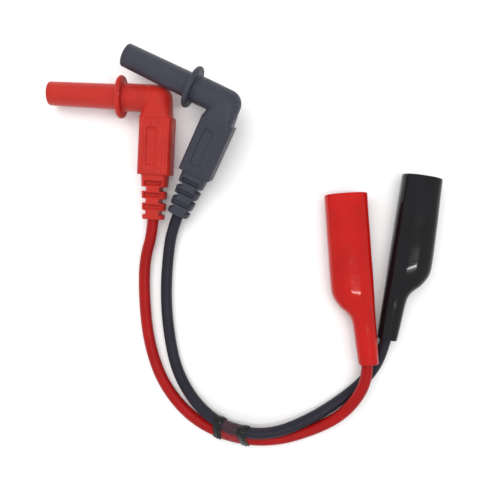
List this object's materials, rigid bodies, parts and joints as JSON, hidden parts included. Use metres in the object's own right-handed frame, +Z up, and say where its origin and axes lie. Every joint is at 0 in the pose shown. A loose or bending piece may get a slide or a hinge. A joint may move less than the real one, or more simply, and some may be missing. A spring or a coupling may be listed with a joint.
{
  "type": "pair of test leads",
  "caption": "Red and black test leads: right-angle shrouded plugs, flexible cables held by a twist tie, and spring clips in glossy soft boots.",
  "frame": {"origin": "on the surface that the leads lie on, under the middle of the box round the plugs and the clips", "axes": "+Z up from that surface; +Y from the cables' bend towards the plugs; +X from the plugs towards the clips"},
  "size_m": [0.1644, 0.1669, 0.0254],
  "materials": {
    "red_shroud_plastic": "moulded, fine satin",
    "red_plug_vinyl": "soft moulded, matte",
    "plated_brass": "nickel plated, polished",
    "plated_spring": "spring temper, bright",
    "bare_brass": "as machined",
    "red_cable_jacket": "extruded, matte",
    "inner_insulation": "extruded, matte",
    "tinned_copper": "stranded",
    "red_boot_vinyl": "dip-moulded, glossy",
    "plated_steel": "stamped sheet, nickel plated",
    "rivet_steel": "headed over",
    "spring_steel": "drawn wire",
    "black_shroud_plastic": "moulded, fine satin",
    "black_plug_vinyl": "soft moulded, matte",
    "black_cable_jacket": "extruded, matte",
    "black_boot_vinyl": "dip-moulded, glossy",
    "tie_vinyl": "glossy",
    "tie_film": "clear, glossy"
  },
  "bodies": {
    "leads": {"red_shroud": "red_shroud_plastic", "red_plug_body": "red_plug_vinyl", "red_contact_pin": "plated_brass", "red_contact_spring": "plated_spring", "red_contact_block": "bare_brass", "red_cable_jacket": "red_cable_jacket", "red_cable_insulation": "inner_insulation", "red_cable_conductor": "tinned_copper", "red_clip_fixed_jaw": "plated_steel", "red_clip_rivet": "rivet_steel", "red_clip_spring": "spring_steel", "black_shroud": "black_shroud_plastic", "black_plug_body": "black_plug_vinyl", "black_contact_pin": "plated_brass", "black_contact_spring": "plated_spring", "black_contact_block": "bare_brass", "black_cable_jacket": "black_cable_jacket", "black_cable_insulation": "inner_insulation", "black_cable_conductor": "tinned_copper", "black_clip_fixed_jaw": "plated_steel", "black_clip_rivet": "rivet_steel", "black_clip_spring": "spring_steel", "twist_tie": "tie_vinyl", "tie_film": "tie_film"},
    "red_boot": {"red_boot": "red_boot_vinyl"},
    "black_boot": {"black_boot": "black_boot_vinyl"},
    "red_moving_jaw": {"red_clip_moving_jaw": "plated_steel"},
    "black_moving_jaw": {"black_clip_moving_jaw": "plated_steel"}
  },
  "joints": [
    {"name": "red_jaw_hinge", "type": "hinge", "parent": "leads", "child": "red_moving_jaw", "pos_m": [0.04393, -0.02554, 0.00818], "axis": [-0.0023, 0.0383, 0.9993], "range_deg": [0, 10], "stiffness_Nm_per_rad": 0.05, "springref_deg": -5.73, "deforming": ["red_clip_spring"]},
    {"name": "red_boot_slide", "type": "slide", "parent": "leads", "child": "red_boot", "axis": [-0.0601, 0.9975, -0.0384], "range_m": [-0.0025, 0]},
    {"name": "black_jaw_hinge", "type": "hinge", "parent": "leads", "child": "black_moving_jaw", "pos_m": [0.06972, -0.01646, 0.007], "axis": [0, 0, -1], "range_deg": [0, 10], "stiffness_Nm_per_rad": 0.05, "springref_deg": -5.73, "deforming": ["black_clip_spring"]},
    {"name": "black_boot_slide", "type": "slide", "parent": "leads", "child": "black_boot", "axis": [0.1556, 0.9878, 0], "range_m": [-0.0015, 0]}
  ]
}
